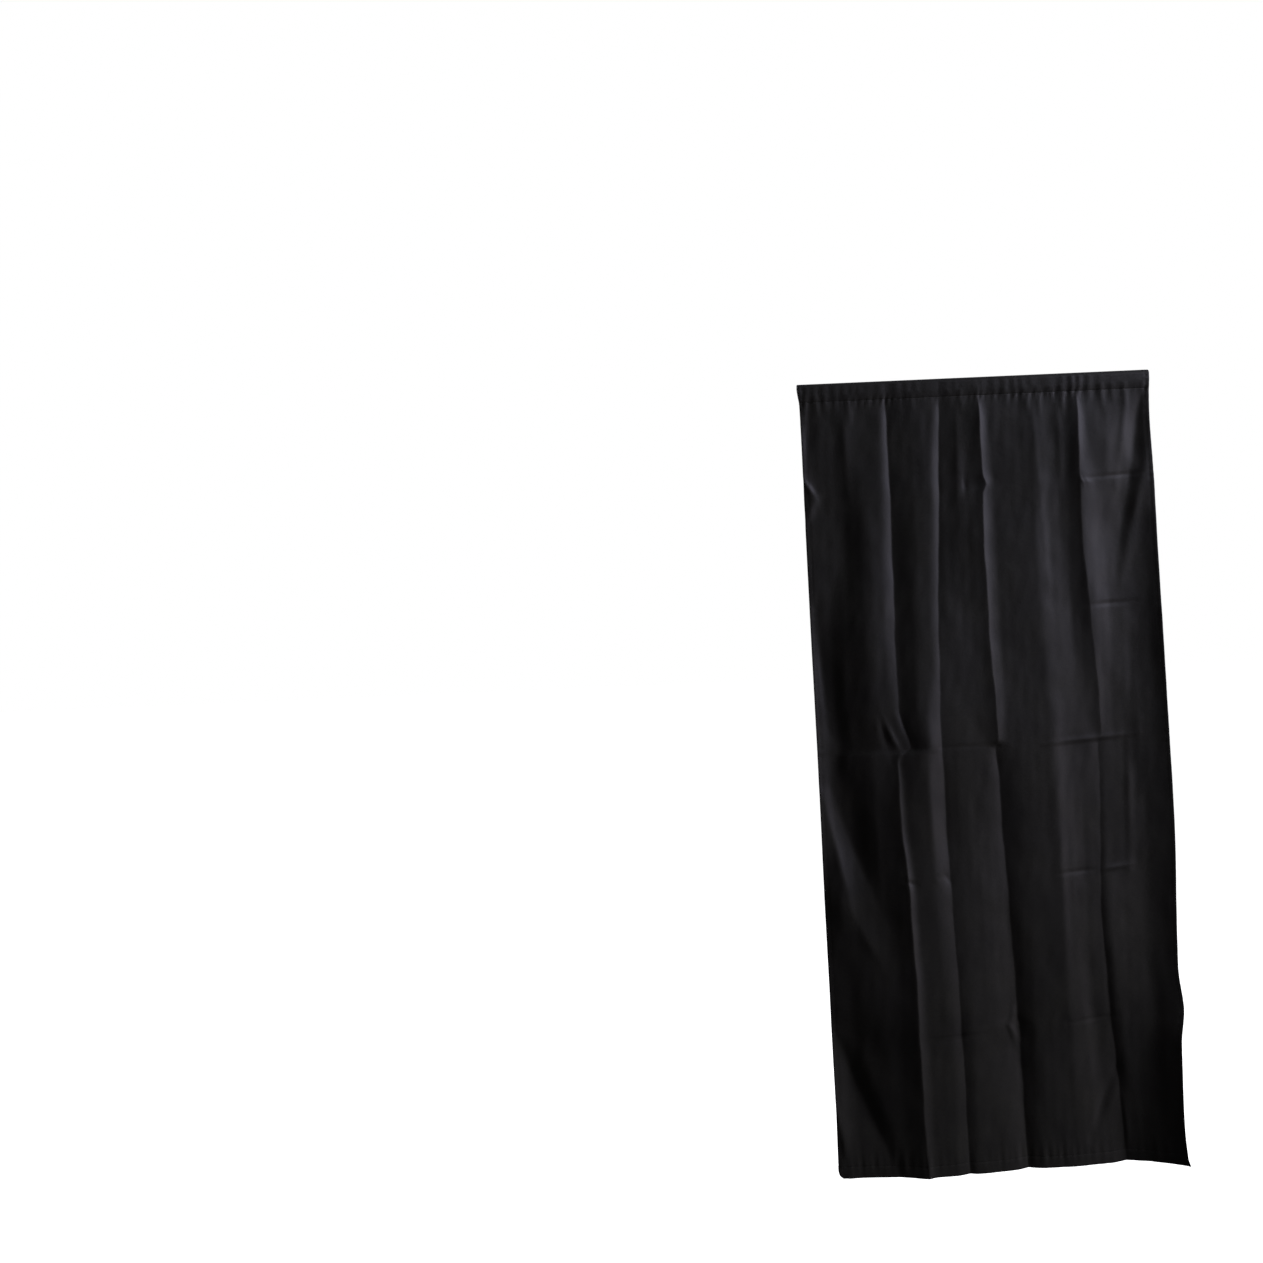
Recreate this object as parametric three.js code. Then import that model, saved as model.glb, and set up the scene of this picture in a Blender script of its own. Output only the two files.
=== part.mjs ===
// Thermal blackout curtain: one black panel with a rod pocket sewn along its top, hanging as it
// does on a rod. Millimetres, +Z up. X runs along the rod, +Y points away from the room, and the
// origin is on the axis of the rod pocket at mid width.
import * as THREE from "three";

// Driving sizes
const LENGTH = 2134;
const POCKET_DROP = 50;
const POCKET_RADIUS = 14;
const SEAM_AHEAD = 10;
const POCKET_BELLY = 1.2;
const CLOTH = 1.5;
const BOTTOM_HEM = 30;
const SIDE_HEM = 13;
const HEM_EXTRA = 1.2;
const PARTING = 0.3;
const COLOUR = 0x17161a;

// The outline: where the two sides of the cloth hang. In every table a drop is measured down
// from the top fold, and across is measured from mid width.
const OUTLINE = [
  { drop: 0, left: -468, right: 469 },
  { drop: 50, left: -465, right: 468 },
  { drop: 130, left: -463, right: 470 },
  { drop: 330, left: -460, right: 480 },
  { drop: 690, left: -456, right: 487 },
  { drop: 970, left: -453, right: 491 },
  { drop: 1230, left: -451, right: 495 },
  { drop: 1610, left: -447, right: 489 },
  { drop: 1710, left: -446, right: 498 },
  { drop: 1810, left: -445, right: 485 },
  { drop: 2000, left: -444, right: 483 },
  { drop: 2112, left: -444, right: 486 },
  { drop: 2126, left: -442, right: 488 },
  { drop: 2134, left: -434, right: 490 },
];

// The four long creases left by packing. crest is how far the crease stands toward the room, so
// a valley has a negative one, and left and right are the widths of its two flanks.
const CREASE_A = [
  { drop: 0, across: -235, crest: -1, left: 24, right: 40 },
  { drop: 50, across: -235, crest: -4, left: 22, right: 70 },
  { drop: 120, across: -232, crest: -7, left: 26, right: 90 },
  { drop: 300, across: -230, crest: -8, left: 29, right: 110 },
  { drop: 450, across: -229, crest: -8, left: 29, right: 100 },
  { drop: 600, across: -231, crest: -7, left: 32, right: 80 },
  { drop: 750, across: -233, crest: -5, left: 30, right: 60 },
  { drop: 880, across: -233, crest: -4, left: 20, right: 50 },
  { drop: 906, across: -227, crest: -4, left: 17, right: 30 },
  { drop: 940, across: -217, crest: -3, left: 15, right: 22 },
  { drop: 985, across: -205, crest: -1.5, left: 13, right: 20 },
  { drop: 1004, across: -239, crest: 2, left: 20, right: 12 },
  { drop: 1030, across: -244, crest: 4, left: 34, right: 14 },
  { drop: 1130, across: -243, crest: 6, left: 50, right: 18 },
  { drop: 1330, across: -231, crest: 9, left: 60, right: 22 },
  { drop: 1600, across: -222, crest: 10, left: 60, right: 26 },
  { drop: 1900, across: -215, crest: 9, left: 60, right: 28 },
  { drop: 2134, across: -207, crest: 7, left: 60, right: 28 },
];
const CREASE_B = [
  { drop: 0, across: -92, crest: -1, left: 20, right: 30 },
  { drop: 50, across: -92, crest: -4, left: 20, right: 60 },
  { drop: 120, across: -93, crest: -6, left: 24, right: 90 },
  { drop: 300, across: -100, crest: -8, left: 30, right: 100 },
  { drop: 450, across: -105, crest: -7.5, left: 29, right: 100 },
  { drop: 600, across: -115, crest: -6, left: 26, right: 100 },
  { drop: 750, across: -118, crest: -5, left: 26, right: 90 },
  { drop: 900, across: -123, crest: -6, left: 34, right: 80 },
  { drop: 1060, across: -119, crest: -8, left: 52, right: 70 },
  { drop: 1200, across: -116, crest: -7.5, left: 54, right: 70 },
  { drop: 1400, across: -112, crest: -6.5, left: 50, right: 56 },
  { drop: 1600, across: -106, crest: -6, left: 44, right: 40 },
  { drop: 1900, across: -96, crest: -6, left: 36, right: 36 },
  { drop: 2134, across: -92, crest: -7, left: 44, right: 30 },
];
const CREASE_C = [
  { drop: 0, across: 10, crest: 0, left: 40, right: 24 },
  { drop: 50, across: 11, crest: 5, left: 50, right: 20 },
  { drop: 120, across: 12, crest: 8, left: 70, right: 24 },
  { drop: 240, across: 15, crest: 8, left: 90, right: 32 },
  { drop: 266, across: 17, crest: 8, left: 80, right: 32 },
  { drop: 288, across: 23, crest: 6.5, left: 78, right: 30 },
  { drop: 312, across: 13, crest: 8, left: 90, right: 36 },
  { drop: 450, across: 12, crest: 10, left: 110, right: 36 },
  { drop: 600, across: 15, crest: 10, left: 110, right: 36 },
  { drop: 750, across: 19, crest: 9, left: 110, right: 36 },
  { drop: 900, across: 26, crest: 8, left: 80, right: 36 },
  { drop: 972, across: 29, crest: 5, left: 40, right: 28 },
  { drop: 996, across: 25, crest: -5, left: 34, right: 50 },
  { drop: 1060, across: 30, crest: -8, left: 40, right: 56 },
  { drop: 1250, across: 38, crest: -11, left: 70, right: 66 },
  { drop: 1400, across: 44, crest: -12, left: 84, right: 66 },
  { drop: 1680, across: 56, crest: -13, left: 90, right: 60 },
  { drop: 1716, across: 57, crest: -13, left: 86, right: 56 },
  { drop: 1748, across: 65, crest: -13, left: 82, right: 52 },
  { drop: 1776, across: 66, crest: -13, left: 82, right: 52 },
  { drop: 1802, across: 62, crest: -13, left: 84, right: 54 },
  { drop: 1900, across: 66, crest: -13, left: 84, right: 56 },
  { drop: 2134, across: 71, crest: -12, left: 60, right: 56 },
];
const CREASE_D = [
  { drop: 0, across: 273, crest: 0, left: 40, right: 30 },
  { drop: 50, across: 272, crest: 4, left: 44, right: 20 },
  { drop: 120, across: 273, crest: 6, left: 50, right: 24 },
  { drop: 230, across: 273, crest: 7, left: 56, right: 40 },
  { drop: 300, across: 274, crest: 7, left: 56, right: 90 },
  { drop: 450, across: 279, crest: 7, left: 56, right: 90 },
  { drop: 550, across: 286, crest: 7, left: 60, right: 90 },
  { drop: 750, across: 302, crest: 5, left: 56, right: 60 },
  { drop: 900, across: 311, crest: 3, left: 44, right: 36 },
  { drop: 962, across: 313, crest: 2, left: 30, right: 30 },
  { drop: 996, across: 306, crest: -2, left: 28, right: 24 },
  { drop: 1200, across: 303, crest: -2, left: 40, right: 14 },
  { drop: 1400, across: 294, crest: -4, left: 50, right: 18 },
  { drop: 1600, across: 303, crest: -6, left: 52, right: 26 },
  { drop: 1750, across: 315, crest: -7, left: 52, right: 30 },
  { drop: 1900, across: 329, crest: -9, left: 56, right: 36 },
  { drop: 2134, across: 344, crest: -9, left: 50, right: 70 },
];

// The broad form of the hanging cloth: how far each place on a section lies away from the room.
// A station is 0 at the left side, 1 to 4 on the creases A to D, and 5 at the right side.
const STATIONS = {
  leftEdge: 0, leftRim: 0.22, leftBay: 0.4, leftFlank: 0.72, creaseA: 1, afterA: 1.55,
  creaseB: 2, creaseC: 3, afterC: 3.5, foldE: 3.68, afterE: 3.84, creaseD: 4,
  rightBay: 4.34, rightFlank: 4.6, rightRim: 4.82, rightEdge: 5,
};
const SECTIONS = [
  { drop: 0, leftEdge: 0, leftRim: 0, leftBay: 0, leftFlank: 0, creaseA: 0,
    afterA: 0, creaseB: 0, creaseC: 0, afterC: 0, foldE: 0, afterE: 0,
    creaseD: 0, rightBay: 0, rightFlank: 0, rightRim: 0, rightEdge: 0 },
  { drop: 50, leftEdge: 0, leftRim: 0, leftBay: 0, leftFlank: 0, creaseA: 0,
    afterA: 0, creaseB: 0, creaseC: 0, afterC: 0, foldE: 0, afterE: 0,
    creaseD: 0, rightBay: 0, rightFlank: 0, rightRim: 0, rightEdge: 0 },
  { drop: 150, leftEdge: 4, leftRim: 6, leftBay: 6, leftFlank: 4, creaseA: 1,
    afterA: 1, creaseB: -1, creaseC: 1, afterC: -2, foldE: -1, afterE: -2,
    creaseD: -4, rightBay: -2, rightFlank: 5, rightRim: 10, rightEdge: 8 },
  { drop: 280, leftEdge: 12, leftRim: 13, leftBay: 12, leftFlank: 3, creaseA: 1,
    afterA: 0, creaseB: -1, creaseC: 4, afterC: -1, foldE: 3, afterE: 4,
    creaseD: 2, rightBay: 8, rightFlank: 17, rightRim: 18, rightEdge: 14 },
  { drop: 450, leftEdge: 18, leftRim: 18, leftBay: 18, leftFlank: 3, creaseA: 6,
    afterA: 0, creaseB: 0, creaseC: 3, afterC: 0, foldE: 9, afterE: 12,
    creaseD: 12, rightBay: 26, rightFlank: 29, rightRim: 26, rightEdge: 18 },
  { drop: 700, leftEdge: 16, leftRim: 18, leftBay: 7, leftFlank: -8, creaseA: -3,
    afterA: -10, creaseB: -10, creaseC: 4, afterC: 2, foldE: 10, afterE: 18,
    creaseD: 18, rightBay: 26, rightFlank: 29, rightRim: 25, rightEdge: 14 },
  { drop: 985, leftEdge: 10, leftRim: 18, leftBay: 6, leftFlank: -10, creaseA: -13,
    afterA: -24, creaseB: -15, creaseC: -1, afterC: 0, foldE: 11, afterE: 18,
    creaseD: 22, rightBay: 26, rightFlank: 22, rightRim: 17, rightEdge: 8 },
  { drop: 1200, leftEdge: 8, leftRim: 18, leftBay: 18, leftFlank: -4, creaseA: -12,
    afterA: -19, creaseB: -8, creaseC: 3, afterC: 0, foldE: 10, afterE: 18,
    creaseD: 20, rightBay: 22, rightFlank: 22, rightRim: 15, rightEdge: 6 },
  { drop: 1420, leftEdge: 12, leftRim: -2, leftBay: -4, leftFlank: -14, creaseA: -25,
    afterA: -26, creaseB: -20, creaseC: -4, afterC: -4, foldE: 6, afterE: 12,
    creaseD: 13, rightBay: 20, rightFlank: 24, rightRim: 18, rightEdge: 6 },
  { drop: 1660, leftEdge: 6, leftRim: -2, leftBay: -14, leftFlank: -26, creaseA: -31,
    afterA: -28, creaseB: -23, creaseC: 0, afterC: 2, foldE: 10, afterE: 20,
    creaseD: 18, rightBay: 21, rightFlank: 22, rightRim: 13, rightEdge: 2 },
  { drop: 1820, leftEdge: 0, leftRim: 6, leftBay: -3, leftFlank: -18, creaseA: -26,
    afterA: -22, creaseB: -16, creaseC: 9, afterC: 11, foldE: 20, afterE: 30,
    creaseD: 26, rightBay: 27, rightFlank: 23, rightRim: 6, rightEdge: -10 },
  { drop: 2134, leftEdge: -8, leftRim: -6, leftBay: -8, leftFlank: -16, creaseA: -22,
    afterA: -18, creaseB: -12, creaseC: 8, afterC: 15, foldE: 22, afterE: 27,
    creaseD: 33, rightBay: 30, rightFlank: 17, rightRim: 2, rightEdge: -14 },
];

// Short folds and buckles, each along a straight line between two places on the cloth. crest is
// how far it stands toward the room. left is its width on the left, or below a level fold, and
// right is its width on the right, or above.
const SHORT_FOLDS = [
  { name: "top left fold", across1: -446, drop1: 20,
    across2: -446, drop2: 230, crest: -4, left: 18, right: 40 },
  { name: "top left ridge", across1: -352, drop1: 30,
    across2: -344, drop2: 300, crest: 4, left: 30, right: 40 },
  { name: "side dent, upper lip", across1: -468, drop1: 243,
    across2: -428, drop2: 312, crest: 6, left: 30, right: 24 },
  { name: "side dent, lower lip", across1: -428, drop1: 306,
    across2: -462, drop2: 374, crest: 6, left: 30, right: 24 },
  { name: "left fold, middle", across1: -440, drop1: 600,
    across2: -420, drop2: 930, crest: -7, left: 30, right: 50 },
  { name: "left ridge, low", across1: -441, drop1: 1110,
    across2: -380, drop2: 1420, crest: 8, left: 44, right: 36 },
  { name: "left ridge, end", across1: -392, drop1: 1400,
    across2: -300, drop2: 1580, crest: 4, left: 49, right: 49 },
  { name: "left fold, low", across1: -424, drop1: 1070,
    across2: -296, drop2: 1440, crest: -6, left: 46, right: 76 },
  { name: "left fold, lowest", across1: -458, drop1: 1690,
    across2: -272, drop2: 2150, crest: -11, left: 90, right: 44 },
  { name: "left foot", across1: -452, drop1: 1890,
    across2: -410, drop2: 2134, crest: 6, left: 22, right: 44 },
  { name: "right trough, high", across1: 458, drop1: -10,
    across2: 416, drop2: 290, crest: -6.5, left: 48, right: 46 },
  { name: "right trough, low", across1: 432, drop1: 200,
    across2: 372, drop2: 540, crest: -3.5, left: 44, right: 38 },
  { name: "right ridge", across1: 466, drop1: 190,
    across2: 384, drop2: 560, crest: 4, left: 38, right: 46 },
  { name: "right fold, middle", across1: 412, drop1: 640,
    across2: 384, drop2: 1000, crest: -1.5, left: 40, right: 38 },
  { name: "ridge right of B", across1: -46, drop1: 30,
    across2: -54, drop2: 460, crest: 2.2, left: 20, right: 34 },
  { name: "ridge right of C", across1: 150, drop1: 20,
    across2: 182, drop2: 560, crest: 3.6, left: 46, right: 60 },
  { name: "ridge left of D", across1: 222, drop1: 30,
    across2: 224, drop2: 320, crest: 2.5, left: 20, right: 26 },
  { name: "ridge right of C, low", across1: 180, drop1: 985,
    across2: 194, drop2: 1720, crest: 2.5, left: 22, right: 80 },
  { name: "level fold 1", across1: 286, drop1: 283,
    across2: 478, drop2: 270, crest: -2.5, left: 16, right: 16 },
  { name: "level fold 2", across1: 288, drop1: 622,
    across2: 424, drop2: 616, crest: -2.5, left: 16, right: 16 },
  { name: "level fold 3", across1: 150, drop1: 990,
    across2: 440, drop2: 971, crest: 3, left: 18, right: 20 },
  { name: "level fold 4", across1: 292, drop1: 1336,
    across2: 386, drop2: 1324, crest: 2.5, left: 16, right: 16 },
  { name: "level fold 5", across1: 188, drop1: 1742,
    across2: 330, drop2: 1734, crest: -2, left: 16, right: 16 },
  { name: "buckle on crease A", across1: -286, drop1: 898,
    across2: -256, drop2: 1012, crest: -3, left: 15, right: 12 },
  { name: "buckle on crease C", across1: 44, drop1: 1690,
    across2: 42, drop2: 1790, crest: -2, left: 9, right: 9 },
  { name: "branch of crease D", across1: 328, drop1: 1880,
    across2: 244, drop2: 2060, crest: -8, left: 28, right: 18 },
  { name: "ridge beside crease D", across1: 340, drop1: 1960,
    across2: 352, drop2: 2110, crest: 4, left: 34, right: 20 },
];

// Gathers of the cloth on the rod: small upright waves that fade out below the seam.
const GATHER_PITCH = 27;
const GATHER_HEIGHT = 0.8;
const GATHER_FADE = 22;

// How far a fold's tip is rounded off, and the share of a short fold's length at which it ends.
const CREASE_TIP = 2;
const FOLD_TIP = 2.5;
const FOLD_END = 0.12;

// Grid steps of the model
const COLUMNS_PER_BAY = [13, 8, 8, 13, 11];
const ROW_STEP = 80;
const SHARP_DROPS = [
  62, 80, 112, 264, 278, 292, 606, 620, 634, 962, 985, 1004, 1316, 1332, 1348,
  1700, 1734, 1770, LENGTH - BOTTOM_HEM - 2, LENGTH - BOTTOM_HEM, LENGTH - 8,
];
const POCKET_COLUMNS = 96;
const ARC_STEPS = 6;

// A smooth curve through one column of a table, which never swings past its rows.
function follow(rows, key, column, at) {
  const last = rows.length - 1;
  if (at <= rows[0][key]) return rows[0][column];
  if (at >= rows[last][key]) return rows[last][column];
  let i = 0;
  while (rows[i + 1][key] < at) i += 1;
  const rise = (k) => (rows[k + 1][column] - rows[k][column]) / (rows[k + 1][key] - rows[k][key]);
  const tangent = (k) => {
    if (k === 0 || k === last) return rise(Math.min(k, last - 1));
    const before = rise(k - 1);
    const after = rise(k);
    return before * after > 0 ? (2 * before * after) / (before + after) : 0;
  };
  const span = rows[i + 1][key] - rows[i][key];
  const t = (at - rows[i][key]) / span;
  return rows[i][column] * (1 + 2 * t) * (1 - t) ** 2
    + rows[i + 1][column] * t * t * (3 - 2 * t)
    + span * (tangent(i) * t * (1 - t) ** 2 + tangent(i + 1) * t * t * (t - 1));
}

// The six lines that every section crosses: left side, creases A to D, right side.
function linesAt(drop) {
  const creases = [CREASE_A, CREASE_B, CREASE_C, CREASE_D];
  return [
    follow(OUTLINE, "drop", "left", drop),
    ...creases.map((crease) => follow(crease, "drop", "across", drop)),
    follow(OUTLINE, "drop", "right", drop),
  ];
}

// Where a station lies across the cloth.
function acrossAt(station, drop) {
  const lines = linesAt(drop);
  const bay = Math.min(Math.floor(station), lines.length - 2);
  return lines[bay] + (lines[bay + 1] - lines[bay]) * (station - bay);
}

function broadForm(station, drop) {
  const section = Object.entries(STATIONS).map(([name, place]) => ({
    place,
    depth: follow(SECTIONS, "drop", name, drop),
  }));
  return follow(section, "place", "depth", station);
}

// The height of a fold's flank beside its line: 1 on the line, where the tip is rounded off, and
// 0 from its width on.
function flank(offset, width, tip) {
  const beside = Math.hypot(offset, tip) - tip;
  return Math.max(0, 1 - beside / width) ** 2;
}

function creaseRelief(crease, across, drop) {
  const offset = across - follow(crease, "drop", "across", drop);
  const width = follow(crease, "drop", offset < 0 ? "left" : "right", drop);
  return follow(crease, "drop", "crest", drop) * flank(offset, width, CREASE_TIP);
}

// A short fold is full along its middle and tapers out toward its two ends.
function shortRelief(fold, across, drop) {
  const runAcross = fold.across2 - fold.across1;
  const runDown = fold.drop2 - fold.drop1;
  const length = Math.hypot(runAcross, runDown);
  const fromAcross = across - fold.across1;
  const fromDrop = drop - fold.drop1;
  const along = (fromAcross * runAcross + fromDrop * runDown) / length;
  const aside = (fromAcross * runDown - fromDrop * runAcross) / length;
  const past = Math.max(0, -along, along - length);
  const share = Math.min(Math.max(along / length, FOLD_END), 1 - FOLD_END);
  const taper = Math.sin(Math.PI * share);
  const width = aside < 0 ? fold.left : fold.right;
  return fold.crest * taper * flank(Math.hypot(aside, past), width, FOLD_TIP);
}

function gather(across) {
  const wander = 7 * Math.sin(across / 61) + 4 * Math.sin(across / 23 + 1);
  const strength = 0.7 + 0.5 * Math.sin(across / 83 + 0.6) + 0.4 * Math.sin(across / 37);
  return GATHER_HEIGHT * strength * Math.sin((2 * Math.PI * (across + wander)) / GATHER_PITCH);
}

// Depth of the middle of the cloth below the seam, away from the room.
function clothDepth(station, drop) {
  const across = acrossAt(station, drop);
  const settled = 1 - Math.exp(-Math.max(0, drop - POCKET_DROP) / GATHER_FADE);
  let toward = gather(across) * (1 - settled);
  for (const crease of [CREASE_A, CREASE_B, CREASE_C, CREASE_D]) {
    toward += settled * creaseRelief(crease, across, drop);
  }
  for (const fold of SHORT_FOLDS) toward += settled * shortRelief(fold, across, drop);
  return broadForm(station, drop) - toward - SEAM_AHEAD;
}

// Stations of the panel's columns, closer together beside the creases.
function panelStations() {
  const stations = [0];
  COLUMNS_PER_BAY.forEach((count, bay) => {
    for (let i = 1; i <= count; i += 1) {
      const t = i / count;
      stations.push(bay + t - (0.55 * Math.sin(2 * Math.PI * t)) / (2 * Math.PI));
    }
  });
  return stations;
}

// Drops of the panel's rows: the sharp levels, with even steps between them.
function panelDrops() {
  const drops = [POCKET_DROP + PARTING, ...SHARP_DROPS, LENGTH];
  const rows = [drops[0]];
  for (const drop of drops.slice(1)) {
    const above = rows[rows.length - 1];
    const steps = Math.max(1, Math.round((drop - above) / ROW_STEP));
    for (let i = 1; i <= steps; i += 1) rows.push(above + ((drop - above) * i) / steps);
  }
  return rows;
}

// A mesh from its points and from quads, each four point numbers that run anticlockwise as seen
// from outside the cloth.
function clothMesh(name, points, quads) {
  const geometry = new THREE.BufferGeometry();
  geometry.setAttribute("position", new THREE.Float32BufferAttribute(points.flat(), 3));
  geometry.setIndex(quads.flatMap(([a, b, c, d]) => [a, b, c, a, c, d]));
  geometry.computeVertexNormals();
  const material = new THREE.MeshStandardMaterial({ color: COLOUR, roughness: 0.75, metalness: 0 });
  const mesh = new THREE.Mesh(geometry, material);
  mesh.name = name;
  return mesh;
}

// The panel: a sheet with its side hems and its bottom hem turned under at the back.
function panel() {
  const stations = panelStations();
  const drops = panelDrops();
  const points = [];
  for (const back of [false, true]) {
    for (const drop of drops) {
      const [left, , , , , right] = linesAt(drop);
      for (const station of stations) {
        const across = acrossAt(station, drop);
        const inSideHem = Math.min(across - left, right - across) < SIDE_HEM;
        const turned = inSideHem || drop >= LENGTH - BOTTOM_HEM ? HEM_EXTRA : 0;
        const offset = back ? CLOTH / 2 + turned : -CLOTH / 2;
        points.push([across, clothDepth(station, drop) + offset, POCKET_RADIUS - drop]);
      }
    }
  }
  const foot = drops.length - 1;
  const end = stations.length - 1;
  const front = (row, column) => row * stations.length + column;
  const back = (row, column) => (drops.length + row) * stations.length + column;
  const quads = [];
  for (let row = 0; row < foot; row += 1) {
    const next = row + 1;
    for (let column = 0; column < end; column += 1) {
      const beside = column + 1;
      quads.push([front(next, column), front(next, beside), front(row, beside), front(row, column)]);
      quads.push([back(row, column), back(row, beside), back(next, beside), back(next, column)]);
    }
    quads.push([back(row, 0), back(next, 0), front(next, 0), front(row, 0)]);
    quads.push([front(row, end), front(next, end), back(next, end), back(row, end)]);
  }
  for (let column = 0; column < end; column += 1) {
    const beside = column + 1;
    quads.push([front(0, column), front(0, beside), back(0, beside), back(0, column)]);
    quads.push([back(foot, column), back(foot, beside), front(foot, beside), front(foot, column)]);
  }
  return clothMesh("panel", points, quads);
}

// One face of the pocket's cloth as a loop of [y, z]: from the front of the seam up over the rod
// and down to the back of the seam. The seam hangs ahead of the rod, so that the front of the
// pocket is nearly upright and its back leans out.
function pocketLoop(radius, frontFoot, backFoot, footHeight) {
  const seamBelow = POCKET_DROP - POCKET_RADIUS;
  const openHalf = Math.asin(POCKET_RADIUS / Math.hypot(seamBelow, SEAM_AHEAD));
  const turned = Math.atan2(SEAM_AHEAD, seamBelow);
  const start = Math.PI + openHalf - turned;
  const end = -openHalf - turned;
  const arc = [];
  for (let i = 0; i <= ARC_STEPS; i += 1) {
    const angle = start + ((end - start) * i) / ARC_STEPS;
    arc.push([radius * Math.cos(angle), radius * Math.sin(angle)]);
  }
  const front = [-SEAM_AHEAD - frontFoot, footHeight - seamBelow];
  const back = [-SEAM_AHEAD + backFoot, footHeight - seamBelow];
  const belly = (foot, shoulder, out) => [
    (foot[0] + shoulder[0]) / 2 + out,
    (foot[1] + shoulder[1]) / 2,
  ];
  const frontBelly = belly(front, arc[0], -POCKET_BELLY);
  const backBelly = belly(back, arc[ARC_STEPS], POCKET_BELLY);
  return [front, frontBelly, ...arc, backBelly, back];
}

// The rod pocket: the top of the cloth turned over to the back and sewn down along the seam.
function rodPocket() {
  const outside = pocketLoop(POCKET_RADIUS, CLOTH, CLOTH, 0);
  const inside = pocketLoop(POCKET_RADIUS - CLOTH, 0.2, 2.6, 5);
  const loops = [outside, inside];
  const size = loops[0].length;
  const points = [];
  for (let i = 0; i <= POCKET_COLUMNS; i += 1) {
    for (const [y, z] of loops.flat()) {
      const drop = POCKET_RADIUS - z;
      const left = follow(OUTLINE, "drop", "left", drop);
      const right = follow(OUTLINE, "drop", "right", drop);
      const across = left + ((right - left) * i) / POCKET_COLUMNS;
      const slack = Math.min(1, drop / POCKET_RADIUS);
      points.push([across, y - gather(across) * slack, z]);
    }
  }
  const outer = (section, k) => section * 2 * size + (k % size);
  const inner = (section, k) => (section * 2 + 1) * size + (k % size);
  const quads = [];
  for (let k = 0; k < size; k += 1) {
    const after = k + 1;
    for (let section = 0; section < POCKET_COLUMNS; section += 1) {
      const next = section + 1;
      quads.push([outer(section, k), outer(next, k), outer(next, after), outer(section, after)]);
      quads.push([inner(section, after), inner(next, after), inner(next, k), inner(section, k)]);
    }
    const end = POCKET_COLUMNS;
    quads.push([outer(0, k), outer(0, after), inner(0, after), inner(0, k)]);
    quads.push([outer(end, after), outer(end, k), inner(end, k), inner(end, after)]);
  }
  return clothMesh("rod_pocket", points, quads);
}

const curtain = new THREE.Group();
curtain.add(rodPocket(), panel());
export default curtain;
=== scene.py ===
"""Looks of a black thermal blackout curtain with a rod pocket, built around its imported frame.

Tables and sizes of the cloth are in millimetres, and they become metres where a mesh is made.
A drop is measured down from the top fold, across is measured from mid width to the right, and
depth is measured away from the room.
"""
import math

import bpy
import numpy as np
from mathutils import Matrix, Vector


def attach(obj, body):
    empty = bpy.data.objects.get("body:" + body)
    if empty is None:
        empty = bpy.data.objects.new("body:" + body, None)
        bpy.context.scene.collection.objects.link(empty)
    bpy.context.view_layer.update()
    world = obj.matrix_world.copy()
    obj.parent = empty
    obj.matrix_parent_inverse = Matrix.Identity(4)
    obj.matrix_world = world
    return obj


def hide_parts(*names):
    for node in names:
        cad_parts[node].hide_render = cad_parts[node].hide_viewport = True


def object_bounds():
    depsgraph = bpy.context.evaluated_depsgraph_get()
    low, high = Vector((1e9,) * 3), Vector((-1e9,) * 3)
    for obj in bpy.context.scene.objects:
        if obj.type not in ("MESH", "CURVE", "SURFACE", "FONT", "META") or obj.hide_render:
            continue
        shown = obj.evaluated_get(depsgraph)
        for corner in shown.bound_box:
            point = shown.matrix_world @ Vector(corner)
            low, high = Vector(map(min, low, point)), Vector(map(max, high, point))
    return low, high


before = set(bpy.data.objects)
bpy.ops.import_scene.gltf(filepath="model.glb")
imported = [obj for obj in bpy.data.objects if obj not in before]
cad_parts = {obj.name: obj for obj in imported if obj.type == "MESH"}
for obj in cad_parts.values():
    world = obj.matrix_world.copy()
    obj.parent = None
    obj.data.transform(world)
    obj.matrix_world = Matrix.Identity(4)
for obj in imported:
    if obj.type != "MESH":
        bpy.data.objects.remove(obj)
cad_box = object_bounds()

MM = 0.001

# The panel's driving sizes. The seam hangs ahead of the rod's axis, toward the room.
LENGTH = 2134.0
POCKET_DROP = 50.0
POCKET_RADIUS = 14.0
SEAM_AHEAD = 10.0
BOTTOM_HEM = 30.0
SIDE_HEM = 12.0
HEM_LINE = LENGTH - BOTTOM_HEM

# The cloth's thickness, and how far behind it a turned-under layer lies. At the foot's corners,
# where both hems cross, the turned-up cloth lies further back by HEM_BULK.
CLOTH = 0.9
LAYER = 1.1
HEM_BULK = 2.1

# Drops of the level folds, where the mesh has closer rows
LEVEL_FOLDS = (278.0, 620.0, 984.0, 1334.0, 1740.0)


def table(columns, *rows):
    """A table with named columns, one row for each level or fold."""
    return dict(zip(columns.split(), np.array(rows, float).T))


# The outline: where the two sides of the cloth hang
OUTLINE = table(
    "drop left right",
    (0, -468, 469),
    (50, -465, 468),
    (130, -463, 470),
    (330, -460, 480),
    (690, -456, 487),
    (970, -453, 491),
    (1230, -451, 495),
    (1610, -447, 489),
    (1710, -446, 498),
    (1810, -445, 485),
    (2000, -444, 483),
    (2112, -444, 489),
    (2126, -441, 493),
    (2134, -431, 496),
)

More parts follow.
